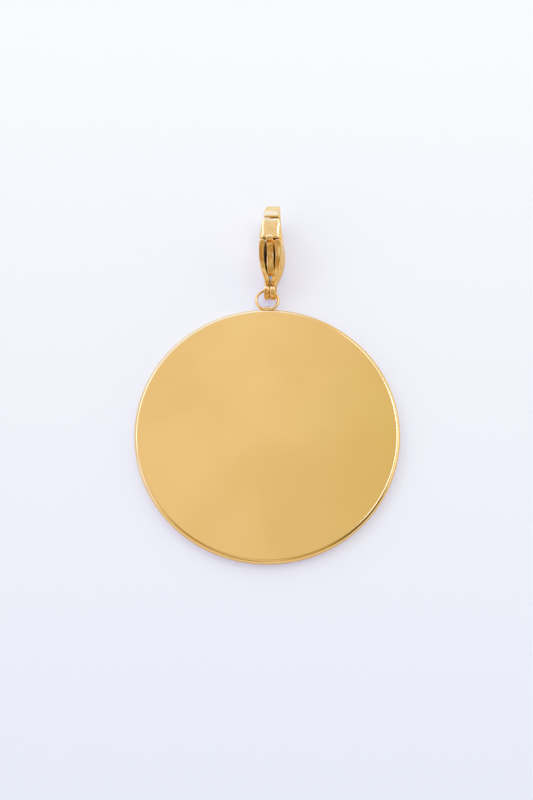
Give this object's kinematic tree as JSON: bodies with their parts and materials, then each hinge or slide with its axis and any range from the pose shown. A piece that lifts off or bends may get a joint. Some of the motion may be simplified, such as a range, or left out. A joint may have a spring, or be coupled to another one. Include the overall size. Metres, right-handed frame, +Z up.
{
  "type": "round disc pendant with lobster clasp",
  "caption": "Flat round polished gold disc pendant with a soldered eye ring and a sprung lobster clasp, lying flat.",
  "frame": {"origin": "centre of the disc's underside, on the surface that the pendant lies on", "axes": "+Z up from the surface, +Y from the disc's centre towards the clasp, +X to the right as the picture shows it"},
  "size_m": [0.035, 0.0489, 0.0065],
  "materials": {
    "disc": "polished, gold plated",
    "clasp_body": "polished, gold plated",
    "lever": "polished, gold plated",
    "rivet": "polished, gold plated"
  },
  "bodies": {
    "pendant": {"disc": "disc", "clasp_body": "clasp_body", "rivet": "rivet"},
    "lever": {"lever": "lever"}
  },
  "joints": [
    {"name": "lever_hinge", "type": "hinge", "parent": "pendant", "child": "lever", "pos_m": [0.00053, 0.02309, 0.00312], "axis": [-0.9923, 0.0503, -0.1132], "range_deg": [0, 25], "stiffness_Nm_per_rad": 0.001, "springref_deg": -20.05}
  ]
}
